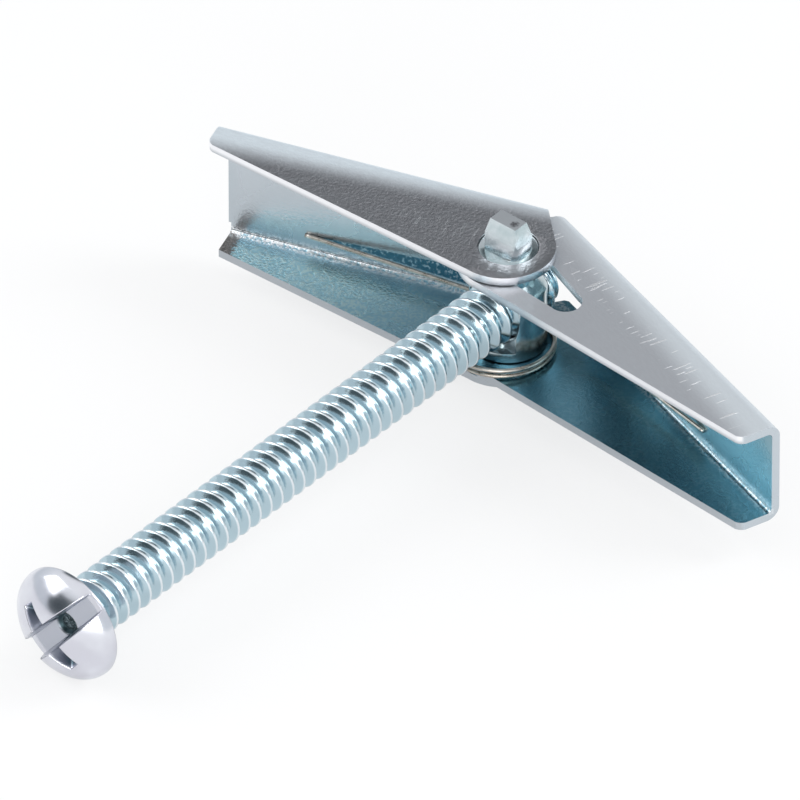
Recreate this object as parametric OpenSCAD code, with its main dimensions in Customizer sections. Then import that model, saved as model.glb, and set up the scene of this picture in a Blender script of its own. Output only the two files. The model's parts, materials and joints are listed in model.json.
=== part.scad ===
// Spring toggle bolt: a round-head machine screw, a trunnion nut and two folding sheet-steel wings
// that a torsion spring holds open. It lies on its side, on one tang of the nut and the rim of the
// head. Millimetres, Z up, bolt head towards -Y.

/* [Bolt] */
// Outside diameter of the thread
bolt_d = 4.76; // [3:0.02:8]
// Length of the bolt under the head
bolt_len = 53; // [48:0.5:120]
// Distance from one crest of the thread to the next
thread_pitch = 1.23; // [0.8:0.01:1.6]
// Depth of the thread
thread_depth = 0.45; // [0.2:0.01:0.6]
// Diameter of the head
head_d = 9.12; // [7:0.02:14]
// Height of the head
head_h = 2.9; // [2.4:0.05:3.6]
// Radius of the rounded edge of the head
head_edge_r = 1.5; // [0.8:0.05:1.7]
// Width of the screwdriver slot
slot_w = 1.5; // [0.8:0.05:2]
// Depth of the slot below the crown
slot_depth = 2.25; // [1.2:0.05:2.4]
// Span of the cross recess
cross_span = 5.4; // [3:0.1:6]
// Turn of the slot about the bolt
slot_turn = 51; // [0:1:180]

/* [Nut] */
// Length of the bolt past the hinge axis
bolt_past = 3.6; // [3:0.1:20]
// Diameter of the nut's barrel
barrel_d = 5.8; // [5.5:0.05:7]
// Diameter of the journals in the wings
journal_d = 4.4; // [3.6:0.05:4.8]
// Width of the nut across its two flats
flat_w = 3.6; // [3:0.05:5]
// Thickness of the flattened ends at their tips
tang_t = 1.3; // [0.9:0.05:2]
// Width of the flattened ends at their tips
tang_w = 2.4; // [1.6:0.05:2.8]
// Height of the flattened ends above the outer wing
tang_h = 2.4; // [1.5:0.05:4]

/* [Wings] */
// Thickness of the sheet
sheet = 0.66; // [0.5:0.02:0.8]
// Inside radius of the folds
fold_r = 0.4; // [0.2:0.05:0.8]
// Outside height of the outer wing
outer_h = 10.2; // [9.8:0.05:12]
// Length of the outer wing from the hinge axis
outer_len = 25.2; // [20:0.1:34]
// Length of the inner wing from the hinge axis
inner_len = 27.4; // [20:0.1:34]
// Distance from the hinge axis to the back of the outer wing
outer_back = 5.8; // [5.6:0.05:7]
// Distance from the hinge axis to the back of the inner wing
inner_back = 6.3; // [5.8:0.05:7.2]
// Depth of the outer wing at its tip
outer_tip = 2.8; // [2:0.05:4.5]
// Depth of the inner wing at its tip
inner_tip = 3.4; // [2:0.05:4.5]
// Radius of the rounded hinge ends
end_r = 3.85; // [3.4:0.05:4.6]
// How much shorter the lower flange of the outer wing is
low_trim = 1; // [0:0.1:3]
// Angle of each open wing from the bolt
open_angle = 72; // [66:0.5:76]

/* [Spring] */
// Diameter of the spring wire
wire_d = 0.34; // [0.25:0.01:0.36]
// Mean radius of the spring coil
coil_r = 4; // [3.8:0.02:4.2]
// Length of the spring legs along the wings
leg_len = 18.2; // [12:0.1:19]

/* [Hidden] */
$fn = 96;
run_gap = 0.05;
hinge_gap = 0.08;
nut_at = bolt_len - bolt_past;
bend = fold_r + sheet;
inner_h = outer_h - 2 * sheet - 0.2;
barrel_half = inner_h / 2 - sheet - 0.1;
journal_top = outer_h / 2 - 0.15;
tang_end = outer_h / 2 + tang_h;
tang_r = journal_d / 2 - 0.45;
head_r = head_d / 2;
bore_r = bolt_d / 2 + run_gap;
hole_r = journal_d / 2 + hinge_gap;
coil_shift = coil_r - wire_d / 2 - barrel_d / 2 - 0.05;
leg_off = wire_d / 2 + 0.12;
inner_heel = [-1.8, -inner_back + 0.3];

// A point on a wing: u runs to the tip, v to the open side, side is -1 for outer and 1 for inner
function wing_pt(side, u, v, z) = [
    side * (u * sin(open_angle) - v * cos(open_angle)),
    -u * cos(open_angle) - v * sin(open_angle),
    z];

// How the part lies: the nut's lower tang and the rim of the head are on the floor
lay_pitch = atan((tang_end - head_r) / (nut_at - tang_t / 2));
function laid(p) = [
    p[0],
    p[1] * cos(lay_pitch) - p[2] * sin(lay_pitch),
    p[1] * sin(lay_pitch) + p[2] * cos(lay_pitch)];
left_pt = laid(wing_pt(-1, outer_len, -outer_back, 0));
right_pt = laid(wing_pt(1, inner_len, -inner_back, 0));
front_pt = laid([0, -nut_at - head_h, 0]);
back_pt = laid(wing_pt(1, inner_heel[0] + 0.275, inner_heel[1] - 0.22, sheet - inner_h / 2));
low_pt = laid([0, -tang_t / 2, -tang_end]);
origin_at = [(left_pt[0] + right_pt[0]) / 2, (front_pt[1] + back_pt[1]) / 2, low_pt[2]];

module lay() {
    translate(-origin_at) rotate([lay_pitch, 0, 0]) children();
}

// Moves a shape from wing coordinates to its open place
module open_out(side) {
    if (side > 0) rotate([0, 0, open_angle - 90]) mirror([0, 1, 0]) children();
    if (side < 0) rotate([0, 0, 90 - open_angle]) rotate([0, 0, 180]) children();
}

// Area to take off a corner p between the unit directions a and b
module corner_cut(p, a, b, r) {
    half = acos(a * b) / 2;
    t = r / tan(half);
    c = p + (a + b) / norm(a + b) * (r / sin(half));
    difference() {
        polygon([p - (a + b) * 0.2, p + a * t - b * 0.2, p + a * t, c, p + b * t, p + b * t - a * 0.2]);
        translate(c) circle(r = r + 0.02);
    }
}

// Two circles joined by their outer tangents
module teardrop(r1, p, r2) {
    turn = atan2(p[1], p[0]);
    lean = acos((r1 - r2) / norm(p));
    function rim(c, r, a) = c + r * [cos(a), sin(a)];
    circle(r = r1);
    translate(p) circle(r = r2);
    polygon([
        rim([0, 0], r1 - 0.02, turn + lean),
        rim([0, 0], r1 - 0.02, turn - lean),
        rim(p, r2 - 0.02, turn - lean),
        rim(p, r2 - 0.02, turn + lean)]);
}

// Outline of a flange: rounded about the pivot, tapering to the tip
module flange_outline(len, back, tip, heel) {
    mid = [0.3, 0.15];
    top = [len, -back + tip];
    out = top - mid;
    lean = atan2(out[1], out[0]) + acos(end_r / norm(out));
    touch = mid + (end_r - 0.02) * [cos(lean), sin(lean)];
    along = (touch - top) / norm(touch - top);
    neck = mid + (end_r - 0.02) * [cos(205), sin(205)];
    difference() {
        union() {
            translate(mid) circle(r = end_r);
            polygon([touch, mid, neck, heel, [heel[0] + 1, -back - 0.5], [len, -back - 0.5], top]);
        }
        corner_cut(top, [0, -1], along, 0.9);
    }
}

// U section of a folded wing, along u from u0 to u1
module channel(h, back, u0, u1) {
    translate([u0, 0, 0]) rotate([90, 0, 90]) linear_extrude(height = u1 - u0) difference() {
        union() {
            translate([-back + bend, -h / 2]) square([back + 8 - bend, h]);
            translate([-back, -h / 2 + bend]) square([bend + 0.1, h - 2 * bend]);
            for (s = [-1, 1]) translate([-back + bend, s * (h / 2 - bend)]) circle(r = bend);
        }
        translate([-back + bend, -h / 2 + sheet]) square([back + 9 - bend, h - 2 * sheet]);
        translate([-back + sheet, -h / 2 + bend]) square([bend, h - 2 * bend]);
        for (s = [-1, 1]) translate([-back + bend, s * (h / 2 - bend)]) circle(r = fold_r);
    }
}

module bolt() {
    edge_u = head_r - head_edge_r;
    crown = head_h - head_edge_r;
    slot_floor = max(0.5, head_h - slot_depth);
    dome_c = (pow(edge_u, 2) + 0.0025 - pow(crown, 2)) / (0.1 - 2 * crown);
    dome_r = head_h - dome_c;
    dome_u = edge_u * dome_r / (dome_r - head_edge_r);
    color([0.72, 0.74, 0.78]) lay() translate([0, -nut_at, 0]) rotate([90, 0, 0]) union() {
        difference() {
            rotate_extrude() {
                square([head_r, 0.05]);
                intersection() {
                    translate([edge_u, 0.05]) circle(r = head_edge_r);
                    square([head_r, head_h]);
                }
                intersection() {
                    translate([0, dome_c]) circle(r = dome_r, $fn = 180);
                    square([dome_u, head_h]);
                }
            }
            rotate([0, 0, slot_turn]) translate([0, 0, slot_floor]) {
                translate([-head_r, -slot_w / 2, 0]) cube([head_d, slot_w, 5]);
                rotate([90, 0, 90]) linear_extrude(height = 1, center = true) polygon([
                    [-1.1, -0.1],
                    [1.1, -0.1],
                    [cross_span / 2 + 0.95, head_h - slot_floor + 0.3],
                    [-cross_span / 2 - 0.95, head_h - slot_floor + 0.3]]);
                translate([0, 0, -0.4]) cylinder(r1 = 0.5, r2 = 1.3, h = 0.6);
            }
        }
        rotate_extrude($fn = 48) shank_profile();
    }
}

// Half section of the shank: the thread as a row of ridges, and a tapered point
module shank_profile() {
    r = bolt_d / 2;
    turns = floor((bolt_len - 1.6) / thread_pitch);
    polygon(concat(
        [[0, 0.1], [r, 0.1]],
        [for (turn = [0:turns - 1], step = [0:2])
            [step == 1 ? r - thread_depth : r, -0.6 - (turn + 0.275 * step) * thread_pitch]],
        [[r, 0.6 - bolt_len], [r - 0.6, -bolt_len], [0, -bolt_len]]));
}

module toggle_nut() {
    shoulder = bolt_d / 2 - 0.7;
    neck = journal_top - 0.3;
    // Side view of the two flattened ends with the bar between them
    module taper(wide, slim) {
        polygon([
            [-slim, -tang_end], [slim, -tang_end], [wide, -neck], [wide, neck],
            [slim, tang_end], [-slim, tang_end], [-wide, neck], [-wide, -neck]]);
    }
    color([0.62, 0.68, 0.70]) lay() difference() {
        union() {
            intersection() {
                union() {
                    translate([0, 0, -barrel_half]) cylinder(d = barrel_d, h = barrel_half + shoulder);
                    translate([0, 0, shoulder]) cylinder(d1 = barrel_d, d2 = barrel_d - 2.1, h = 1.5);
                }
                union() {
                    cube([9, flat_w, 20], center = true);
                    translate([0, 0, -10 - bolt_d / 2 - 0.4]) cube([9, 9, 20], center = true);
                }
            }
            translate([0, 0, -journal_top]) cylinder(d = journal_d, h = 2 * journal_top);
            intersection() {
                cylinder(r = tang_r, h = 2 * tang_end + 2, center = true);
                rotate([90, 0, 0]) linear_extrude(height = 9, center = true)
                    taper(tang_r + 0.1, tang_w / 2);
                rotate([90, 0, 90]) linear_extrude(height = 9, center = true)
                    taper(tang_r - 0.4, tang_t / 2);
            }
        }
        rotate([90, 0, 0]) cylinder(r = bore_r, h = 20, center = true);
        for (s = [-1, 1]) translate([0, s * (flat_w / 2 - 0.1), 0]) rotate([-s * 90, 0, 0])
            cylinder(r1 = bore_r - 0.1, r2 = bore_r + 0.3, h = 0.4, center = true);
    }
}

module outer_wing() {
    color([0.70, 0.72, 0.75]) lay() open_out(-1) difference() {
        intersection() {
            channel(outer_h, outer_back, -6, outer_len + 1);
            linear_extrude(height = outer_h + 2, center = true)
                flange_outline(outer_len, outer_back, outer_tip, [-1, -outer_back + 0.5]);
        }
        cylinder(r = hole_r, h = 2 * outer_h, center = true);
        translate([-1.5, 0, 0]) rotate([90, 0, 0]) cylinder(r = bolt_d / 2 + 0.45, h = 8);
        translate([outer_len - 0.8, -outer_back - 1, -outer_h / 2 + bend]) cube([2, 1 + bend, outer_h - 2 * bend]);
        translate([outer_len - low_trim, -outer_back - 1, -outer_h / 2 - 1]) cube([4, 12, 1.4 + bend]);
    }
}

module inner_wing() {
    web_u = 1.8;
    gap = inner_h - 2 * sheet;
    color([0.70, 0.72, 0.75]) lay() open_out(1) difference() {
        intersection() {
            channel(inner_h, inner_back, -6, inner_len + 1);
            linear_extrude(height = inner_h + 2, center = true)
                flange_outline(inner_len, inner_back, inner_tip, inner_heel);
        }
        translate([-9, -inner_back - 1, -gap / 2]) cube([9 + web_u, 1 + bend, gap]);
        translate([0, 0, -inner_h]) cylinder(r = hole_r, h = inner_h);
        linear_extrude(height = inner_h) teardrop(hole_r, [6.95, -0.6], 1.25);
    }
}

// Wire coil of two turns whose ends run straight along the webs of the wings
module torsion_spring() {
    low = -inner_h / 2 + sheet + wire_d / 2 + 0.04;
    room = -low - wire_d / 2 - bolt_d / 2 - 0.1;
    climb = max(0.01, min(wire_d * 0.71, room / 3));
    tilt = atan(climb / 2 / coil_r);
    mid = [0, -coil_shift];
    // Half the play at each join of the wire, which a bead fills
    play = 0.03;
    play_turn = play / coil_r * 180 / PI;
    // Angle on the coil where the straight leg to a point leaves it at the back
    function leaves(side, p) = atan2(p[1] - mid[1], p[0] - mid[0]) + side * acos(coil_r / norm(p - mid));
    function flat(p) = [p[0], p[1]];
    tip_o = flat(wing_pt(-1, leg_len, -outer_back + sheet + leg_off, 0));
    tip_i = flat(wing_pt(1, leg_len, -inner_back + sheet + leg_off, 0));
    turn_o = leaves(-1, tip_o) + (tip_o[1] < mid[1] ? 360 : 0);
    turn_i = leaves(1, tip_i);
    module bead(turn, z) {
        translate([coil_r * cos(turn), coil_r * sin(turn), z]) sphere(d = wire_d + 0.03, $fn = 24);
    }
    module wire_arc(r, from, to) {
        rotate([0, 0, from + play_turn]) rotate_extrude(angle = to - from - 2 * play_turn)
            translate([r, 0]) circle(d = wire_d, $fn = 24);
    }
    module leg(side, turn, tip) {
        translate(coil_r * [cos(turn), sin(turn)]) rotate([0, 90, turn - side * 90]) translate([0, 0, play])
            cylinder(d = wire_d, h = sqrt(pow(norm(tip - mid), 2) - pow(coil_r, 2)), $fn = 24);
    }
    color([0.45, 0.42, 0.38]) lay() translate([mid[0], mid[1], low]) {
        leg(-1, turn_o, tip_o);
        bead(turn_o, 0);
        wire_arc(coil_r, 0, turn_o);
        for (half = [0:2]) {
            up = half % 2 == 0;
            bead(up ? 0 : 180, half * climb);
            translate([0, 0, (half + 0.5) * climb]) rotate([0, up ? tilt : -tilt, 0])
                wire_arc(coil_r / cos(tilt), up ? -180 : 0, up ? 0 : 180);
        }
        translate([0, 0, climb * 3]) {
            bead(180, 0);
            wire_arc(coil_r, turn_i, 180);
            bead(turn_i, 0);
            leg(1, turn_i, tip_i);
        }
    }
}

bolt();
toggle_nut();
outer_wing();
inner_wing();
torsion_spring();
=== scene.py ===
# %% [markdown]
# # A spring toggle bolt
# A toggle bolt hangs things on a hollow wall: a screw runs in a trunnion nut, and two folded steel wings
# on the nut spring open behind the wall. The solids come ready from the frame, so this lesson adds what
# they leave out: the helix of the thread, a spring wire, soft edges and the look of zinc plate. Lengths
# are in millimetres, apart from the room round the part, which is in metres.

# %% Load the frame
import json
import math

import bpy
from mathutils import Matrix, Vector


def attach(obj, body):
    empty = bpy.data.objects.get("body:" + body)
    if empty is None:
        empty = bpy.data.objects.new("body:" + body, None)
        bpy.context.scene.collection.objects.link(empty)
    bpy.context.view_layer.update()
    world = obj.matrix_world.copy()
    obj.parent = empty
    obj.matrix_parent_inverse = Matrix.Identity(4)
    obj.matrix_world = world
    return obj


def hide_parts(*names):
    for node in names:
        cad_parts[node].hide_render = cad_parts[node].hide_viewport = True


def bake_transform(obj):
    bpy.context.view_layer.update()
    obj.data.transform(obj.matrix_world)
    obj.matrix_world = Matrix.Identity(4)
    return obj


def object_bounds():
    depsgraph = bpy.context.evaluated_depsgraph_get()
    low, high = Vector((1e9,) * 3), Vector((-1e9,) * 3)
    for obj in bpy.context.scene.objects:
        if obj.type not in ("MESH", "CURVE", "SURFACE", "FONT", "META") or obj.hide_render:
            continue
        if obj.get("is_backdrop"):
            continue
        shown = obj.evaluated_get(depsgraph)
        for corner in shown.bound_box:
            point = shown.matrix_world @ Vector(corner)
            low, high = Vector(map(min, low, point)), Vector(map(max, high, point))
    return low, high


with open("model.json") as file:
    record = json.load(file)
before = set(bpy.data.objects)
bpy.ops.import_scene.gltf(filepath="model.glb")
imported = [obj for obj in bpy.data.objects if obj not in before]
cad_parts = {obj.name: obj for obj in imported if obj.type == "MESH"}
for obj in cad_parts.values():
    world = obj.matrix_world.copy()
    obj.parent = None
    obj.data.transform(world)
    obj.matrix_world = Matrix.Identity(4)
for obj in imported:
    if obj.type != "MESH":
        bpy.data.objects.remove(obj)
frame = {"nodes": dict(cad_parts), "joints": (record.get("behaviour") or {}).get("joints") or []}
cad_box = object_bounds()
nodes = frame["nodes"]
print("nodes:", sorted(nodes))

# %% [markdown]
# ## The part's own axes
# The part lies tilted on the floor, so sums are easier along its own axes: SIDE points to the side of the
# inner wing, BACK from the screw's head to the nut, and UP along the hinge pin. They could be typed in as
# numbers, but the joints in the frame already hold these directions, so nothing is written twice.

# %% Axes from the joints
MM = 0.001
joints = {joint["name"]: joint for joint in frame["joints"]}
HINGE = Vector(joints["outer_fold"]["pos_m"])
UP = Vector(joints["outer_fold"]["axis"]).normalized()
BACK = -Vector(joints["nut_run"]["axis"]).normalized()
SIDE = BACK.cross(UP)


def at(x, y, z):
    """A point in metres from millimetres along SIDE, BACK and UP, counted from the hinge."""
    return HINGE + (x * SIDE + y * BACK + z * UP) * MM


def along_axes(point):
    """Millimetres along SIDE, BACK and UP of a point in metres."""
    offset = (point - HINGE) / MM
    return offset.dot(SIDE), offset.dot(BACK), offset.dot(UP)


print("hinge at", tuple(round(c / MM, 2) for c in HINGE), "mm")

# %% [markdown]
# ## Camera
# The picture shows no vanishing lines, so it was taken from far off. A very long lens gives the same
# flat view, and Blender still treats it as a normal camera. The camera is turned about the part's own
# axes, because the part leans on the floor and the view was measured on the part.

# %% Camera
VIEW_TURN = math.radians(40.3)
VIEW_RISE = math.radians(38.46)
PICTURE_WIDTH = 58.82
HINGE_RIGHT_OF_CENTRE = 7.96
HINGE_ABOVE_CENTRE = 7.32
LENS = 1400
FARTHEST_SEEN_M = 20

to_eye_level = math.sin(VIEW_TURN) * SIDE - math.cos(VIEW_TURN) * BACK
to_eye = math.cos(VIEW_RISE) * to_eye_level + math.sin(VIEW_RISE) * UP
eye_right = math.cos(VIEW_TURN) * SIDE + math.sin(VIEW_TURN) * BACK
eye_up = to_eye.cross(eye_right)
camera_data = bpy.data.cameras.new("camera")
camera_data.lens = LENS
camera_data.clip_end = FARTHEST_SEEN_M
camera = bpy.data.objects.new("camera", camera_data)
bpy.context.scene.collection.objects.link(camera)
eye_distance = PICTURE_WIDTH * MM * LENS / camera_data.sensor_width
picture_centre = HINGE - (HINGE_RIGHT_OF_CENTRE * eye_right + HINGE_ABOVE_CENTRE * eye_up) * MM
eye = picture_centre + to_eye * eye_distance
camera.matrix_world = Matrix((
    (eye_right.x, eye_up.x, to_eye.x, eye.x),
    (eye_right.y, eye_up.y, to_eye.y, eye.y),
    (eye_right.z, eye_up.z, to_eye.z, eye.z),
    (0, 0, 0, 1)))
bpy.context.scene.camera = camera
bpy.context.scene.view_settings.view_transform = "Standard"
print("camera", round(eye_distance, 2), "m away")

# %% [markdown]
# ## Shader sums as Python
# A finish is a small sum over the surface: a mask times a colour, a noise added to a roughness. Wiring
# Math nodes by hand hides that sum, so one class wraps a socket and lets Python's own operators add the
# nodes. Every other node comes from its one method, node, with settings first and sockets after.

# %% A socket that takes part in sums
# A Mix node has a set of sockets for each type of data under the same names, so colours go by number.
MIX_SHARE = 0
MIX_FROM = 6
MIX_TO = 7
MIXED_COLOUR = 2


class Flow:
    """One socket of a node tree, for use in Python expressions."""

    def __init__(self, tree, socket=None):
        self.tree = tree
        self.socket = socket

    def node(self, kind, settings=None, sockets=None, out=0):
        """Adds a node: settings are set first, then each socket gets a value or a link."""
        made = self.tree.nodes.new(kind)
        for key, value in (settings or {}).items():
            setattr(made, key, value)
        for key, value in (sockets or {}).items():
            if isinstance(value, Flow):
                self.tree.links.new(value.socket, made.inputs[key])
            else:
                made.inputs[key].default_value = value
        return Flow(self.tree, made.outputs[out])

    def maths(self, operation, first, second=0.0):
        return self.node("ShaderNodeMath", {"operation": operation}, {0: first, 1: second})

    def __add__(self, other):
        return self.maths("ADD", self, other)

    def __radd__(self, other):
        return self.maths("ADD", other, self)

    def __sub__(self, other):
        return self.maths("SUBTRACT", self, other)

    def __rsub__(self, other):
        return self.maths("SUBTRACT", other, self)

    def __mul__(self, other):
        return self.maths("MULTIPLY", self, other)

    def __rmul__(self, other):
        return self.maths("MULTIPLY", other, self)

    def __abs__(self):
        return self.maths("ABSOLUTE", self)

    def root(self):
        return self.maths("SQRT", self)

    def smooth(self, low, high):
        """0 below low, 1 above high and a soft step between."""
        return self.node("ShaderNodeMapRange", {"interpolation_type": "SMOOTHSTEP"},
                         {"Value": self, "From Min": low, "From Max": high})

    def spread(self):
        """A noise, which stays near a half, stretched over the whole of 0 to 1."""
        return self.smooth(0.3, 0.7)

    def mix(self, colour_at_0, colour_at_1):
        """A colour between two, with this value as the share of the second."""
        return self.node("ShaderNodeMix", {"data_type": "RGBA"},
                         {MIX_SHARE: self, MIX_FROM: colour_at_0, MIX_TO: colour_at_1}, MIXED_COLOUR)

    def dot(self, axis):
        """How far this vector reaches along an axis."""
        return self.node("ShaderNodeVectorMath", {"operation": "DOT_PRODUCT"}, {0: self, 1: axis}, "Value")


def rgb(red, green, blue):
    return (red, green, blue, 1.0)


print("shader sums ready")

# %% [markdown]
# ## Places on the surface
# The finishes depend on where a point is on the part: which flange, how far along the wing. Object
# coordinates stay with a piece when it moves, so they are turned into millimetres along the part's
# axes once, and noises use the same millimetres, which keeps every grain at its real size.

# %% Surface helpers
STREAKS_PER_MM_UP = 0.7


class Surface:
    """Where a shaded point is on the part, in millimetres from the hinge, and which way it faces."""

    def __init__(self, material):
        self.page = Flow(material.node_tree)
        coordinates = self.page.node("ShaderNodeTexCoord", out="Object")
        offset = self.page.node("ShaderNodeVectorMath", {"operation": "SUBTRACT"},
                                {0: coordinates, 1: HINGE})
        self.place = self.page.node("ShaderNodeVectorMath", {"operation": "SCALE"},
                                    {0: offset, "Scale": 1 / MM})
        self.facing = self.page.node("ShaderNodeTexCoord", out="Normal")

    def along(self, axis):
        return self.place.dot(axis)

    def from_screw_axis(self):
        side = self.along(SIDE)
        up = self.along(UP)
        return (side * side + up * up).root()

    def faces(self, axis):
        """Cosine between the way the surface faces and an axis: 1 straight along it, 0 sideways."""
        return self.facing.dot(axis)

    def flat_to(self, axis):
        """A mask for the flat faces that lie square to an axis."""
        return self.faces(axis).smooth(0.5, 0.85)

    def noise(self, per_mm, detail=2.0, place=None):
        return self.page.node("ShaderNodeTexNoise", None,
                              {"Vector": place or self.place, "Scale": per_mm, "Detail": detail}, "Fac")

    def streaks(self, axis, per_mm_along, across, per_mm_across, detail=3.0):
        """Noise drawn out along one direction of the surface."""
        drawn = self.page.node("ShaderNodeCombineXYZ", None, {
            0: self.along(axis) * per_mm_along,
            1: self.along(across) * per_mm_across,
            2: self.along(UP) * STREAKS_PER_MM_UP})
        return self.noise(1.0, detail, drawn)

    def bump(self, height, strength, mm):
        return self.page.node("ShaderNodeBump", None,
                              {"Height": height, "Strength": strength, "Distance": mm * MM})


def new_finish(name):
    """A material with only a metal shader in it."""
    material = bpy.data.materials.new(name)
    material.use_nodes = True
    shader = material.node_tree.nodes["Principled BSDF"]
    shader.inputs["Metallic"].default_value = 1.0
    return material, shader


def feed(shader, **flows):
    """Links surface-varying values to the shader's sockets, Base_Color for Base Color."""
    for name, flow in flows.items():
        flow.tree.links.new(flow.socket, shader.inputs[name.replace("_", " ")])


print("surface helpers ready")

# %% [markdown]
# ## The wings' own directions
# Each wing is a steel strip folded into a channel: a web behind, and a flange above and below it. Its
# marks follow the wing and not the screw, so each wing gets its own directions, along it to the tip and
# from the web to the open side. A full fold lays a wing along the screw, so the range of its joint is
# also the angle at which it stands open. The height and depth are measured on the solid.

# %% Wing directions
OPEN_ANGLE = math.radians(joints["outer_fold"]["range_deg"][1])


class Wing:
    """One wing's own directions, and its sizes in millimetres from the hinge."""

    def __init__(self, node, side):
        self.along = side * math.sin(OPEN_ANGLE) * SIDE - math.cos(OPEN_ANGLE) * BACK
        self.to_open = -side * math.cos(OPEN_ANGLE) * SIDE - math.sin(OPEN_ANGLE) * BACK
        offsets = [(vertex.co - HINGE) / MM for vertex in nodes[node].data.vertices]
        self.half_height = max(offset.dot(UP) for offset in offsets)
        self.back = -min(offset.dot(self.to_open) for offset in offsets)
        print(node, round(2 * self.half_height, 2), "high, web", round(self.back, 2), "behind the hinge")


outer_wing = Wing("outer_wing", -1)
inner_wing = Wing("inner_wing", 1)

# %% [markdown]
# ## Faces of a wing
# The plate looks different on the top flange, on the web and on the lower flange, which shows its upper
# side like a shelf. Each face could have its own material slot, but slots meet in a hard line. Masks by
# height and facing fade into each other over the folds, as the plate itself does.

# %% Masks for a wing's faces
SHEET = 0.66


class WingSurface(Surface):
    """A point on a wing: its distances from the wing's faces, and a mask for each face."""

    def __init__(self, material, wing):
        super().__init__(material)
        self.wing = wing
        self.reach = self.along(wing.along)
        self.front = self.along(wing.to_open)
        self.height = self.along(UP)
        self.from_back = self.front + wing.back
        self.from_bottom = self.height + wing.half_height
        self.from_top = self.height - wing.half_height
        in_flanges = abs(self.height).smooth(wing.half_height - SHEET - 0.12, wing.half_height - SHEET)
        level = self.flat_to(UP)
        self.web = self.flat_to(wing.to_open) * (1 - in_flanges)
        self.cut_edge = self.faces(wing.to_open).smooth(0.3, 0.6) * in_flanges
        self.top = level * self.from_top.smooth(-0.4, -0.2)
        self.shelf = level * (1 - self.from_bottom.smooth(1.2, 2.0))
        self.cloud = self.noise(0.3)
        self.grain = self.noise(4.2)


print("masks ready for a sheet of", SHEET, "mm")

# %% [markdown]
# ## Cut edges and webs
# A shear leaves dull steel on a cut edge; its upper side is painted bright as a highlight and its lower
# side stays a darker grey. The web is a soft blue-grey that pales towards the open side. Behind the
# spring's leg the outer web gets a painted shadow and reflection of the leg, dark and speckled, in a wedge
# that opens from the leg's end. It is flat, so it is a tint between two lines.

# %% Paint for edges and webs
LEG_HEIGHT_AT_END = -2.9
LEG_END = 17.6
# For each millimetre from the leg's end, the wedge's lower line drops and the wedge spreads by these.
WEDGE_DROP = 0.075
WEDGE_SPREAD = 0.125


def paint_edges(surface):
    # Painted highlight: the upper side of each cut edge is lighter and the lower side darker grey.
    painted_edge_highlight = surface.from_top.smooth(-SHEET - 0.05, -0.25)
    edge = painted_edge_highlight.mix(rgb(0.50, 0.53, 0.56), rgb(0.95, 0.95, 0.97))
    return surface.cut_edge.mix(rgb(0.55, 0.60, 0.64), edge)


def paint_web(surface, plate, colour):
    paler = surface.from_back.smooth(0.6, 4.4) * 0.6 + surface.cloud.spread() * 0.4
    colour = surface.web.mix(colour, paler.mix(*plate["web"]))
    # Painted shadow and reflection of the spring's leg: a dark speckled wedge on the web.
    from_end = LEG_END - surface.reach
    above_leg = surface.height - LEG_HEIGHT_AT_END + WEDGE_DROP * from_end
    above_painted_shadow = above_leg - WEDGE_SPREAD * from_end
    wedge = above_leg.smooth(-0.1, 0.05) * (1 - above_painted_shadow.smooth(-0.12, 0.04))
    speckled = wedge * (1.2 - surface.grain.smooth(0.5, 0.68))
    return (surface.web * speckled * plate["wedge"]).mix(colour, rgb(0.07, 0.17, 0.23))


print("wedge ends", LEG_END, "mm from the hinge")

# %% [markdown]
# ## Shelves and lower folds
# Inside the channel the plate is smoother and bluer, with fine speckles, and painted shade darkens it
# along the fold and near the hinge. At the outer wing's tip the shelf gets a brown-grey painted
# reflection, and the inside of the lower fold gets painted glints, a highlight in spots. All of them are
# only colour on one sheet, so they are painted over each other like coats.


# %% Paint for shelves and folds
def paint_shelf(surface, plate, colour):
    # Painted shade: the shelf is darker along the fold and near the hinge.
    out_of_painted_shade = surface.from_back.smooth(0.9, 2.8) * (0.35 + 0.65 * surface.reach.smooth(4.0, 15.0))
    shaded_near_fold, plain, speckled = plate["shelf"]
    open_shelf = surface.grain.smooth(0.44, 0.60).mix(plain, speckled)
    colour = surface.shelf.mix(colour, out_of_painted_shade.mix(shaded_near_fold, open_shelf))
    # Painted reflection: a dark brown-grey patch at the outer shelf's tip.
    ragged_reach = surface.reach + 2.0 * surface.cloud + 1.5 * surface.grain
    painted_tip_reflection = surface.shelf * ragged_reach.smooth(plate["painted_tip_reflection"], plate["painted_tip_reflection"] + 0.5)
    return painted_tip_reflection.mix(colour, rgb(0.30, 0.28, 0.27))


def paint_fold(surface, plate, colour):
    off_web = surface.from_back - SHEET
    off_shelf = surface.from_bottom - SHEET
    inside = surface.page.maths("MINIMUM", off_web, off_shelf).smooth(-0.25, -0.05)
    off_corner = surface.page.maths("MAXIMUM", off_web, off_shelf).smooth(0.25, 0.85)
    # Painted highlight: glints in spots along the inside of the lower fold.
    fold_glint_spots = inside * (1 - off_corner) * surface.grain.smooth(0.38, 0.58)
    return (fold_glint_spots * plate["glint"]).mix(colour, rgb(0.95, 0.97, 0.98))


print("shelf paint ready")

# %% [markdown]
# ## Tops and their scuffs
# The flat tops keep the fine lines of the rolled strip, with painted shade that is pale along the fold and
# darker to the front, and tumbling leaves short bright scuffs on them. Scratches could be an image, but
# noise drawn out across the wing gives strokes of any length, and two more masks keep them to one line of
# the flange.


# %% Paint for tops and scuffs
def rolled_lines(surface):
    return surface.streaks(surface.wing.along, 1.4, surface.wing.to_open, 4.5)


def share_to_front(surface):
    """0 along the back fold and 1 at the front of a top flange, whose shade slants a little."""
    return (surface.from_back - 0.06 * surface.reach).smooth(0.2, 2.8)


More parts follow.
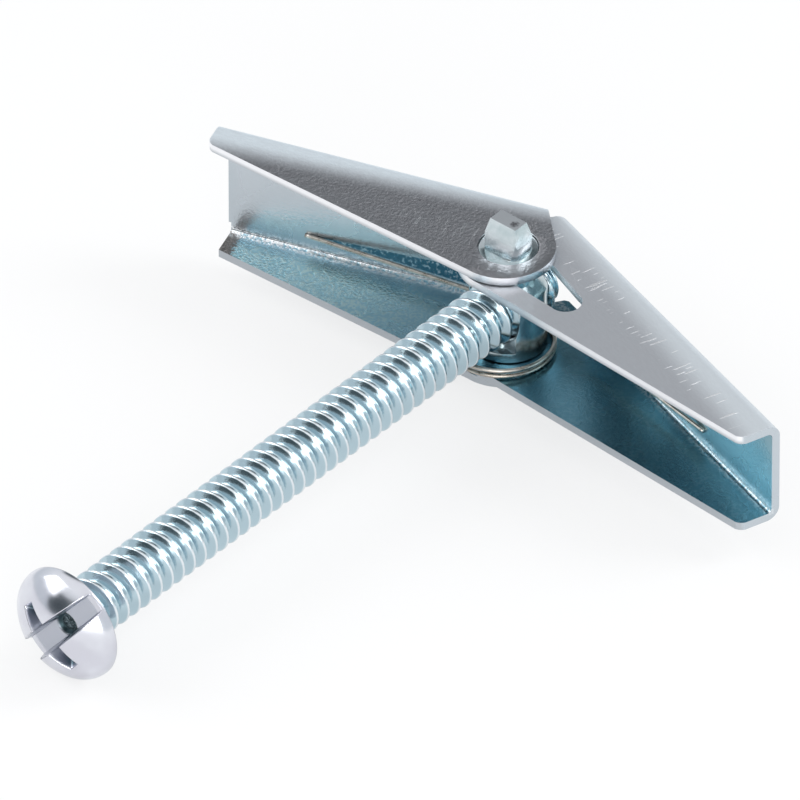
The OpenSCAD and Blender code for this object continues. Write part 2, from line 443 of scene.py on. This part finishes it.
def paint_top(surface, plate, colour, to_front, lines):
    # Painted shade: the top is pale along the back fold and darker to the front.
    painted_top_shade = to_front * 0.9 + lines.spread() * 0.1
    return surface.top.mix(colour, painted_top_shade.mix(*plate["top"]))


def wing_scuffs(surface, plate):
    wing = surface.wing
    strokes = surface.streaks(wing.to_open, 0.42, wing.along, 4.6, 0.0).smooth(0.66, 0.70)
    patches = surface.noise(0.5, 1.0).smooth(0.36, 0.46)
    off_line = surface.front - plate["scuff_line"]
    near_line = 1 - (off_line * off_line).smooth(0.4, 1.2)
    near_hinge = 1 - surface.reach.smooth(plate["scuff_reach"], plate["scuff_reach"] + 1.5)
    return strokes * patches * near_line * near_hinge * surface.top * plate["scuffs"]


print("top paint ready")

# %% [markdown]
# ## Zinc plate on the wings
# The wings are plated with a blue-white zinc after folding. The coats go on from the cut edges to the
# scuffs, each over the last. The two wings could have a material each, written out in full, but they
# differ only in numbers, so one function takes a wing's numbers by name and makes either finish.


# %% Wing finish
def wing_finish(name, wing, plate):
    material, shader = new_finish(name)
    surface = WingSurface(material, wing)
    to_front = share_to_front(surface)
    lines = rolled_lines(surface)
    scuffs = wing_scuffs(surface, plate)
    colour = paint_edges(surface)
    colour = paint_web(surface, plate, colour)
    colour = paint_shelf(surface, plate, colour)
    colour = paint_top(surface, plate, colour, to_front, lines)
    colour = paint_fold(surface, plate, colour)
    colour = scuffs.mix(colour, rgb(0.97, 0.97, 0.98))
    rough_at_back, rough_at_front = plate["top_rough"]
    top_rough = rough_at_back + to_front * (rough_at_front - rough_at_back)
    channel_rough = 0.22 + 0.10 * surface.cloud + 0.10 * surface.cut_edge
    rough = (1 - surface.top) * channel_rough + surface.top * top_rough - 0.08 * scuffs
    grained = 0.35 + plate["shelf_grain"] * surface.shelf + plate["top_grain"] * surface.top
    relief = surface.grain * grained + 0.15 * lines * surface.top + 0.35 * scuffs
    feed(shader, Base_Color=colour, Roughness=rough, Normal=surface.bump(relief, 1.0, 0.05))
    return material


# The shelf gets a brown-grey painted reflection at its tip, where its reach, with noise added, passes this
# number; the inner wing ends before that.
# Scuffs lie along scuff_line, as far out as scuff_reach.
outer_plate = {
    "web": (rgb(0.54, 0.59, 0.63), rgb(0.60, 0.64, 0.68)),
    "shelf": (rgb(0.37, 0.60, 0.71), rgb(0.53, 0.85, 0.93), rgb(0.76, 1.0, 1.0)),
    "top": (rgb(0.80, 0.86, 0.90), rgb(0.45, 0.44, 0.46)),
    "top_rough": (0.60, 0.30),
    "top_grain": 0.25,
    "shelf_grain": 0.75,
    "wedge": 0.9,
    "painted_tip_reflection": 24.6,
    "scuffs": 0.30,
    "scuff_line": -0.4,
    "scuff_reach": 8.0,
    "glint": 1.0}
# Painted shade and reflection: the inner wing's shelf is much darker than the outer's, and its web and top
# are tinted apart, for the same zinc lying in other light.
inner_plate = {
    "web": (rgb(0.40, 0.58, 0.63), rgb(0.56, 0.70, 0.74)),
    "shelf": (rgb(0.11, 0.27, 0.35), rgb(0.17, 0.37, 0.46), rgb(0.23, 0.44, 0.53)),
    "top": (rgb(0.76, 0.80, 0.83), rgb(0.60, 0.61, 0.64)),
    "top_rough": (0.56, 0.46),
    "top_grain": -0.10,
    "shelf_grain": -0.05,
    "wedge": 0.0,
    "painted_tip_reflection": 60.0,
    "scuffs": 1.0,
    "scuff_line": -3.6,
    "scuff_reach": 25.0,
    "glint": 0.40}
outer_zinc = wing_finish("outer_wing_zinc", outer_wing, outer_plate)
inner_zinc = wing_finish("inner_wing_zinc", inner_wing, inner_plate)
print("wing finishes ready:", outer_zinc.name, inner_zinc.name)

# %% [markdown]
# ## Soft edges on the wings and the nut
# A stamped edge is never knife sharp: the punch rolls one side over and the plating rounds the rest, so
# every cut edge catches a thin bright line. The frame's solids may not be reshaped, but a modifier only
# changes what is drawn. Weld joins the solids' split corners, and Bevel then rounds each sharp edge.

# %% Soften and paint the sheet pieces
SPLIT_CORNER_GAP = 0.002
SHARP_EDGE = math.radians(35)
EDGE_SEGMENTS = 3
SHEET_EDGE_WIDTH = 0.20


def soften(node, width, material):
    piece = nodes[node]
    weld = piece.modifiers.new("weld", "WELD")
    weld.merge_threshold = SPLIT_CORNER_GAP * MM
    bevel = piece.modifiers.new("edges", "BEVEL")
    bevel.width = width * MM
    bevel.segments = EDGE_SEGMENTS
    bevel.limit_method = "ANGLE"
    bevel.angle_limit = SHARP_EDGE
    bevel.use_clamp_overlap = True
    evened = piece.modifiers.new("even_shading", "WEIGHTED_NORMAL")
    evened.weight = 100
    piece.data.materials.clear()
    piece.data.materials.append(material)
    print(node, "softened by", width, "mm")


soften("outer_wing", SHEET_EDGE_WIDTH, outer_zinc)
soften("inner_wing", SHEET_EDGE_WIDTH, inner_zinc)

# %% [markdown]
# ## The trunnion nut
# The nut is turned from bar, drilled and tapped across, and its ends are squeezed flat into tangs. It has
# the same plate as the wings but a rounder, brighter look with faint turning marks, so it gets its own
# finish: streaks run round the hinge pin, and a soft bump breaks the mirror. The cut tip of the tang is
# dull, with a small pit too shallow to be worth a mesh, painted as a dark spot of shade.

# %% Nut finish
NUT_EDGE_WIDTH = 0.25
TIP_FROM = 5.2
TIP_FULL = 5.6
TIP_PIT_SIDE = 0.68
TIP_PIT_BACK = -0.12


def nut_finish():
    material, shader = new_finish("nut_zinc")
    surface = Surface(material)
    cloud = surface.noise(0.6)
    turned = surface.streaks(SIDE, 0.3, UP, 6.0)
    tip = surface.flat_to(UP) * surface.along(UP).smooth(TIP_FROM, TIP_FULL)
    off_side = surface.along(SIDE) - TIP_PIT_SIDE
    off_back = surface.along(BACK) - TIP_PIT_BACK
    ragged = off_side * off_side + off_back * off_back + 0.35 * surface.noise(5.0)
    # Painted shade: a dark spot stands for the shade in the tang's small pit.
    pit = tip * (1 - ragged.smooth(0.12, 0.36))
    colour = cloud.spread().mix(rgb(0.48, 0.57, 0.59), rgb(0.70, 0.75, 0.77))
    colour = tip.mix(colour, rgb(0.44, 0.46, 0.48))
    colour = pit.mix(colour, rgb(0.10, 0.10, 0.11))
    rough = 0.14 + 0.10 * cloud + 0.06 * turned + 0.35 * tip
    feed(shader, Base_Color=colour, Roughness=rough, Normal=surface.bump(cloud + 0.5 * turned, 0.3, 0.03))
    return material


soften("toggle_nut", NUT_EDGE_WIDTH, nut_finish())

# %% [markdown]
# ## Mesh from rows of points
# The thread, the head and the wire are all skins over rows of points: each row is a ring, and faces join
# one ring to the next. One function builds any of them, so each piece only has to say where its points
# go. Rows can close with a single centre point, which gives a clean end without a big flat polygon.


# %% Skins from rings
def round_steps(count):
    """Cosine and sine of equal steps round a circle."""
    angles = [2 * math.pi * step / count for step in range(count)]
    return [(math.cos(angle), math.sin(angle)) for angle in angles]


def ring_skin(name, rings, material):
    """A mesh that joins equal rings of points in turn; a ring of one point closes an end."""
    points = []
    starts = []
    for ring in rings:
        starts.append(len(points))
        points.extend(ring)
    faces = []
    for row in range(len(rings) - 1):
        here, there = rings[row], rings[row + 1]
        count = max(len(here), len(there))
        for step in range(count):
            after = (step + 1) % count
            if len(here) == 1:
                faces.append((starts[row], starts[row + 1] + after, starts[row + 1] + step))
            elif len(there) == 1:
                faces.append((starts[row] + step, starts[row] + after, starts[row + 1]))
            else:
                faces.append((starts[row] + step, starts[row] + after,
                              starts[row + 1] + after, starts[row + 1] + step))
    mesh = bpy.data.meshes.new(name)
    mesh.from_pydata(points, [], faces)
    mesh.update()
    mesh.shade_smooth()
    mesh.materials.append(material)
    piece = bpy.data.objects.new(name, mesh)
    bpy.context.scene.collection.objects.link(piece)
    print(name, len(points), "points")
    return piece


print("ring skins ready")

# %% [markdown]
# ## Sizes of the screw
# The frame's screw has a domed head and a row of plain ridges for its thread. Its seat, length and radii
# could be typed in again, but they are measured from that solid, so the threaded screw that replaces it
# stays exactly where the solid is.

# %% Measure the screw
WIDER_THAN_SHANK = 3.5
CLEAR_OF_HEAD = 1
screw_points = [along_axes(vertex.co) for vertex in nodes["bolt"].data.vertices]
screw_end = max(y for x, y, z in screw_points)
crown = min(y for x, y, z in screw_points)
seat = max(y for x, y, z in screw_points if math.hypot(x, z) > WIDER_THAN_SHANK)
thread_r = max(math.hypot(x, z) for x, y, z in screw_points if y > seat + CLEAR_OF_HEAD)
head_r = max(math.hypot(x, z) for x, y, z in screw_points)
head_h = seat - crown
print("seat", round(seat, 2), "end", round(screw_end, 2))
print("thread radius", round(thread_r, 2), "head radius", round(head_r, 2), "height", round(head_h, 2))

# %% [markdown]
# ## Sizes of the head
# The head is a low dome that turns down into a rounder rim. Two arcs that touch without a kink give that
# outline: the rim's radius is chosen, and the dome's centre and radius follow from it, so the head keeps
# its height and width whatever the rim is. The slot and the cross are measured from the head's middle.

# %% Outline of the head
SLOT_TURN = math.radians(51)
SLOT_HALF = 0.75
SLOT_DEPTH = 2.55
CROSS_HALF = 0.5
CROSS_FLAT = 1.1
CROSS_SLOPE = 1.04
RIM_R = 1.5

rim_centre = head_r - RIM_R
crown_rise = head_h - RIM_R
dome_centre = (crown_rise ** 2 - rim_centre ** 2) / (2 * crown_rise)
dome_r = head_h - dome_centre
dome_reach = rim_centre * dome_r / (dome_r - RIM_R)
print("dome radius", round(dome_r, 2), "up to", round(dome_reach, 2), "from the axis")

# %% [markdown]
# ## Bright zinc on the screw
# The screw is rolled, and its crests are partly rubbed bright. A finish that goes by the distance from the
# screw's axis paints the rest as light: the roots are darker and bluer, as painted shade, and the crests
# nearly white, part wear and part painted highlight. The head keeps a mirror with a faint lilac cast, and
# its recess is painted darker with its depth under the dome, as painted shade, since little light gets out
# of a hole.


# %% Screw finishes
def screw_finish():
    material, shader = new_finish("screw_zinc")
    surface = Surface(material)
    crest = surface.from_screw_axis().smooth(thread_r - 0.08, thread_r - 0.02)
    cloud = surface.noise(0.5)
    # Painted shade in the roots and, partly, painted highlight on the crests.
    colour = crest.mix(rgb(0.48, 0.61, 0.67), rgb(0.78, 0.83, 0.86))
    rough = 0.15 + 0.04 * crest + 0.06 * cloud
    feed(shader, Base_Color=colour, Roughness=rough, Normal=surface.bump(surface.noise(2.5), 0.2, 0.03))
    return material


def head_finish():
    material, shader = new_finish("head_zinc")
    surface = Surface(material)
    cloud = surface.noise(0.4)
    run = abs(surface.along(math.cos(SLOT_TURN) * SIDE + math.sin(SLOT_TURN) * UP))
    radius = surface.from_screw_axis()
    dome = dome_centre + surface.page.maths("MAXIMUM", dome_r ** 2 - radius * radius).root()
    depth = dome - (seat - surface.along(BACK))
    cut = depth.smooth(0.06, 0.30) * (1 - radius.smooth(dome_reach - 0.3, dome_reach))
    arm = cut * (1 - run.smooth(0.45, 0.62)) * depth.smooth(0.2, 0.6)
    pit = cut * (1 - radius.smooth(0.85, 1.1))
    colour = cloud.spread().mix(rgb(0.64, 0.64, 0.70), rgb(0.74, 0.75, 0.80))
    # Painted shade: the recess, its cross arms and the middle pit get darker with depth.
    colour = cut.mix(colour, rgb(0.52, 0.54, 0.60))
    colour = arm.mix(colour, rgb(0.16, 0.24, 0.28))
    colour = pit.mix(colour, rgb(0.05, 0.08, 0.09))
    rough = 0.15 + 0.08 * cloud + 0.12 * cut
    feed(shader, Base_Color=colour, Roughness=rough, Normal=surface.bump(surface.noise(1.2), 0.15, 0.04))
    return material


screw_zinc = screw_finish()
head_zinc = head_finish()
print("screw finishes ready:", screw_zinc.name, head_zinc.name)

# %% [markdown]
# ## The thread
# A thread could be a Screw modifier on a profile, but its ends are then hard to fade out. Here every
# point of a fine grid on the cylinder is pushed in by a profile whose phase turns once per pitch, which
# is the true helix of a right-hand thread. Near the head the groove runs out, at the point it tapers.

# %% Thread
PITCH = 1.23
THREAD_DEPTH = 0.60
CREST_HALF = 0.06
ROOT_HALF = 0.10
RUN_OUT_FROM = 0.15
RUN_OUT_LENGTH = 0.5
POINT_TAPER = 0.6
STEPS_ROUND = 64
STEPS_PER_PITCH = 26


def groove(phase):
    """0 on the narrow crest and 1 at the root, with straight flanks between."""
    from_crest = abs((phase + 0.5) % 1 - 0.5)
    flank = (from_crest - CREST_HALF) / (0.5 - CREST_HALF - ROOT_HALF)
    return min(1.0, max(0.0, flank))


def thread_ring(y):
    run_out = min(1.0, max(0.0, (y - seat - RUN_OUT_FROM) / RUN_OUT_LENGTH))
    past_taper = max(0.0, y - (screw_end - POINT_TAPER))
    ring = []
    for step, (cosine, sine) in enumerate(round_steps(STEPS_ROUND)):
        depth = THREAD_DEPTH * run_out * groove(y / PITCH + step / STEPS_ROUND)
        radius = min(thread_r - depth, thread_r - past_taper)
        ring.append(at(radius * cosine, y, radius * sine))
    return ring


row_count = round((screw_end - seat) / PITCH * STEPS_PER_PITCH)
thread_rows = [seat + (screw_end - seat) * row / row_count for row in range(row_count + 1)]
rings = [[at(0, seat, 0)]] + [thread_ring(y) for y in thread_rows] + [[at(0, screw_end, 0)]]
screw_thread = ring_skin("screw_thread", rings, screw_zinc)
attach(screw_thread, "screw")
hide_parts("bolt")

# %% [markdown]
# ## The recess
# The head has a slot and a cross recess, so any driver fits it. Cutting boxes out of a dome leaves edges
# that no bevel likes. Instead the recess is a height over the head's round plan: the lowest of a slot
# with steep walls, a cross whose arms slope up and out, and a pit in the middle.

# %% Height of the recess
WALL_SLOPE = 9
CROSS_DROP = 0.1
PIT_DROP = 0.4
PIT_FLAT = 0.5
PIT_SLOPE = 0.75
PIT_R = 1


def recess_height(x, z):
    """Height of the slot's and the cross's faces above the seat, high where there is no recess."""
    run = x * math.cos(SLOT_TURN) + z * math.sin(SLOT_TURN)
    off = -x * math.sin(SLOT_TURN) + z * math.cos(SLOT_TURN)
    slot_floor = head_h - SLOT_DEPTH
    slot = slot_floor + WALL_SLOPE * max(0, abs(off) - SLOT_HALF)
    arm_rise = CROSS_SLOPE * max(0, abs(off) - CROSS_FLAT)
    arm = slot_floor - CROSS_DROP + arm_rise + WALL_SLOPE * max(0, abs(run) - CROSS_HALF)
    middle = math.hypot(run, off)
    pit = slot_floor - PIT_DROP + PIT_SLOPE * max(0, middle - PIT_FLAT) if middle < PIT_R else slot
    return min(slot, arm, pit)


print("recess floor", round(head_h - recess_height(0, 0), 2), "mm under the crown")

# %% [markdown]
# ## The head
# A real head is forged round and the recess is punched into it, so the edges of the recess roll over a
# little. A soft minimum of the dome's height and the recess's height gives both the shape and those
# rolled edges in one step, on a round grid that is fine enough for the slot's walls.

# %% Head
HEAD_ROUND = 420
DOME_ROWS = 78
RIM_ROWS = 18
ROLLED_EDGE = 0.12
INSIDE_RIM = 0.04
INSIDE_SHANK = 0.3
head_steps = round_steps(HEAD_ROUND)


def soft_min(first, second, blend):
    share = max(blend - abs(first - second), 0) / blend
    return min(first, second) - share * share * blend / 4


def head_profile():
    """Radius and height of the dome and the rim, from the middle to the seat."""
    rows = []
    for row in range(1, DOME_ROWS + 1):
        radius = dome_reach * row / DOME_ROWS
        rows.append((radius, dome_centre + math.sqrt(dome_r ** 2 - radius ** 2)))
    start = math.atan2(rows[-1][1], rows[-1][0] - rim_centre)
    for row in range(1, RIM_ROWS + 1):
        turn = start * (1 - row / RIM_ROWS)
        rows.append((rim_centre + RIM_R * math.cos(turn), RIM_R * math.sin(turn)))
    return rows


def head_ring(radius, height):
    ring = []
    for cosine, sine in head_steps:
        x, z = radius * cosine, radius * sine
        dipped = soft_min(height, recess_height(x, z), ROLLED_EDGE)
        ring.append(at(x, seat - max(0.0, dipped), z))
    return ring


def seat_ring(radius):
    return [at(radius * cosine, seat, radius * sine) for cosine, sine in head_steps]


head_rings = [[at(0, seat - recess_height(0, 0), 0)]]
head_rings += [head_ring(radius, height) for radius, height in head_profile()]
head_rings += [seat_ring(head_r - INSIDE_RIM), seat_ring(thread_r - INSIDE_SHANK)]
head_rings.append([at(0, seat, 0)])
screw_head = ring_skin("screw_head", head_rings, head_zinc)
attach(screw_head, "screw")
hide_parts("bolt")

# %% [markdown]
# ## The path of the torsion spring
# One wire makes two turns round the nut's lower end, and each end runs out along a wing and pushes it
# open. A drawn curve could hold the path, but a wire under load runs straight where it leaves its coil,
# so the place where each leg leaves is the tangent point from the leg's tip, and that is plain geometry.

# %% Spring path
COIL_R = 4.0
COIL_BACK = -0.88
COIL_LOW = -3.47
COIL_TURNS = 2
COIL_CLIMB = 0.241
CLIMBING_HALF_TURNS = 3
LEG_LIFT = 0.5
LIFT_RUN = 3.5
LEG_STEPS = 48
wire_points = [along_axes(vertex.co) for vertex in nodes["torsion_spring"].data.vertices]
outer_tip = min(wire_points)
inner_tip = max(wire_points)


def leg_turn(tip, side):
    """Angle on the coil where a straight leg to the tip leaves it."""
    x, y = tip[0], tip[1] - COIL_BACK
    return math.atan2(y, x) % (2 * math.pi) + side * math.acos(COIL_R / math.hypot(x, y))


def on_coil(turn):
    return COIL_R * math.cos(turn), COIL_BACK + COIL_R * math.sin(turn)


def coil_point(turn):
    x, y = on_coil(turn)
    return at(x, y, COIL_LOW + COIL_CLIMB * min(CLIMBING_HALF_TURNS, max(0, -turn / math.pi)))


def leg_points(turn, tip, height):
    """Points from the coil to the leg's tip, rising a little as the leg leaves the nut."""
    start = Vector(on_coil(turn))
    end = Vector((tip[0], tip[1]))
    points = []
    for step in range(LEG_STEPS + 1):
        share = step / LEG_STEPS
        flat = start.lerp(end, share)
        ramp = min(1, share * (end - start).length / LIFT_RUN)
        points.append(at(flat.x, flat.y, height + LEG_LIFT * ramp * ramp * (3 - 2 * ramp)))
    return points


turn_outer = leg_turn(outer_tip, -1)
turn_inner = leg_turn(inner_tip, 1) % (2 * math.pi)
print("outer leg leaves the coil at", round(math.degrees(turn_outer)), "degrees")
print("inner leg leaves the coil at", round(math.degrees(turn_inner)), "degrees")

# %% [markdown]
# ## The spring's wire
# The spring is drawn steel wire with a warm, dull shine. It is swept along its path as a thin tube, and
# the coil is attached to the nut. When the wings fold, the coil stays with the nut.

# %% Spring wire
WIRE_R = 0.17
WIRE_SIDES = 12
COIL_STEPS = 200


def wire_finish():
    material, shader = new_finish("spring_wire")
    cloud = Surface(material).noise(1.5)
    colour = cloud.spread().mix(rgb(0.40, 0.36, 0.31), rgb(0.58, 0.54, 0.49))
    feed(shader, Base_Color=colour, Roughness=0.22 + 0.14 * cloud)
    return material


def wire_tube(name, path, material):
    """Sweeps a round wire along a path."""
    rings = [[path[0]]]
    for index, point in enumerate(path):
        before = path[max(0, index - 1)]
        after = path[min(len(path) - 1, index + 1)]
        run = (after - before).normalized()
        out = run.cross(UP).normalized()
        over = out.cross(run)
        rings.append([point + WIRE_R * MM * (cosine * out + sine * over)
                      for cosine, sine in round_steps(WIRE_SIDES)])
    rings.append([path[-1]])
    return ring_skin(name, rings, material)


spring_steel = wire_finish()
coil_sweep = turn_inner - COIL_TURNS * 2 * math.pi - turn_outer
coil_path = [coil_point(turn_outer + coil_sweep * step / COIL_STEPS) for step in range(COIL_STEPS + 1)]
spring_coil = wire_tube("spring_coil", coil_path, spring_steel)
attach(spring_coil, "nut")
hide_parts("torsion_spring")
for name, body, turn, tip, height in (
        ("spring_leg_outer", "outer", turn_outer, outer_tip, COIL_LOW),
        ("spring_leg_inner", "inner", turn_inner, inner_tip, COIL_LOW + CLIMBING_HALF_TURNS * COIL_CLIMB)):
    path = leg_points(turn, tip, height)
    leg = wire_tube(name, path, spring_steel)
    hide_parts("torsion_spring")
    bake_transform(leg)

# %% [markdown]
# ## Floor
# The part lies on a white floor. Enough light to make it look white would wash out the zinc, so the
# floor's material adds a plain white glow that only the camera, mirrors and glass see. The glow is a
# share of the whole, and the rest of the floor still takes the part's soft shadow.

# %% Floor
FLOOR_HALF_M = 1.5
GLOW_SEEN = 0.72
GLOW_MIRRORED = 0.3


def floor_finish():
    material = bpy.data.materials.new("pale_floor")
    material.use_nodes = True
    tree = material.node_tree
    page = Flow(tree)
    shader = tree.nodes["Principled BSDF"]
    shader.inputs["Base Color"].default_value = rgb(0.86, 0.86, 0.86)
    shader.inputs["Roughness"].default_value = 0.9
    shader.inputs["Specular IOR Level"].default_value = 0.1
    seen = page.node("ShaderNodeLightPath", out="Is Camera Ray")
    mirrored = page.node("ShaderNodeLightPath", out="Is Glossy Ray")
    through = page.node("ShaderNodeLightPath", out="Is Transmission Ray")
    glow = page.node("ShaderNodeEmission", None, {"Color": rgb(1.0, 1.0, 1.0), "Strength": 1.0})
    both = page.node("ShaderNodeMixShader", None, {
        0: GLOW_SEEN * (seen + through) + GLOW_MIRRORED * mirrored,
        1: Flow(tree, shader.outputs[0]),
        2: glow})
    tree.links.new(both.socket, tree.nodes["Material Output"].inputs["Surface"])
    return material


floor_low = cad_box[0].z
floor_corners = [(x * FLOOR_HALF_M, y * FLOOR_HALF_M, floor_low)
                 for x, y in ((-1, -1), (1, -1), (1, 1), (-1, 1))]
floor_mesh = bpy.data.meshes.new("floor")
floor_mesh.from_pydata(floor_corners, [], [(0, 1, 2, 3)])
floor_mesh.materials.append(floor_finish())
floor = bpy.data.objects.new("floor", floor_mesh)
bpy.context.scene.collection.objects.link(floor)
floor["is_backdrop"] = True
print("floor at", round(floor_low / MM, 3), "mm")

# %% [markdown]
# ## The room in the mirror
# Polished metal shows the room more than its own colour, so the room is the real finish here. A picture
# of a studio would do, but a pale sky with a few soft dark patches is easier to move until each stripe
# sits right. The first patch is behind the part, where the flat tops look; the others are low on the
# head's side and make the dark row along the thread. The camera itself sees plain white.

# %% World
# Each patch has its middle along SIDE, BACK and UP, then the cosine of the angle from there to where it
# starts, and to where it is full.
DARK_PATCHES = (
    ((-0.36, 0.60, 0.71), 0.925, 0.980),
    ((0.13, -0.94, 0.33), 0.945, 0.978),
    ((-0.13, -0.94, 0.33), 0.945, 0.978),
    ((-0.39, -0.86, 0.33), 0.945, 0.982))


def direction_of(side, back, up):
    return (side * SIDE + back * BACK + up * UP).normalized()


def soft_world():
    world = bpy.data.worlds.new("soft_room")
    bpy.context.scene.world = world
    world.use_nodes = True
    tree = world.node_tree
    page = Flow(tree)
    look = page.node("ShaderNodeTexCoord", out="Generated")
    dark = sum(look.dot(direction_of(*middle)).smooth(start, full)
               for middle, start, full in DARK_PATCHES)
    pale = look.dot((0, 0, 1)).smooth(0.1, 0.95).mix(rgb(0.72, 0.77, 0.81), rgb(0.95, 0.96, 0.98))
    sky = dark.mix(pale, rgb(0.07, 0.09, 0.10))
    seen = page.node("ShaderNodeLightPath", out="Is Camera Ray")
    colour = seen.mix(sky, rgb(1.0, 1.0, 1.0))
    tree.links.new(colour.socket, tree.nodes["Background"].inputs["Color"])


soft_world()
print("room with", len(DARK_PATCHES), "dark patches")

# %% [markdown]
# ## Lamps
# Three soft lamps stand round the part: one high at the left front, one low at the right front that
# draws the white band along the thread, and one behind. A small lamp or a sun would give the metal only
# hard points of light. A mirror shows a lamp's shape, so each is a rectangle that faces the part.


# %% Lamps
def lamp(name, direction, distance, width, height, watts):
    """An area lamp, in metres, that faces the part's middle from a direction along SIDE, BACK and UP."""
    data = bpy.data.lights.new(name, "AREA")
    data.shape = "RECTANGLE"
    data.size = width
    data.size_y = height
    data.energy = watts
    lamp_object = bpy.data.objects.new(name, data)
    bpy.context.scene.collection.objects.link(lamp_object)
    away = direction_of(*direction)
    lamp_object.location = (cad_box[0] + cad_box[1]) / 2 + away * distance
    lamp_object.rotation_mode = "QUATERNION"
    lamp_object.rotation_quaternion = away.to_track_quat("Z", "Y")
    print(name, width, "by", height, "m")


lamp("left_softbox", (-0.64, -0.50, 0.59), distance=0.30, width=0.19, height=0.15, watts=0.23)
lamp("right_softbox", (0.58, -0.77, 0.25), distance=0.30, width=0.224, height=0.16, watts=0.40)
lamp("back_lamp", (0.50, 0.60, 0.62), distance=0.32, width=0.12, height=0.18, watts=0.3)

# %% [markdown]
# ## Check the size
# Dressing must not change the part's size, so the growth from the box of the solids to the box of the
# finished part is printed.

# %% Sizes
full_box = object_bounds()
cad_size = cad_box[1] - cad_box[0]
full_size = full_box[1] - full_box[0]
print("grown by", [round((full - cad) / MM, 3) for cad, full in zip(cad_size, full_size)], "mm")
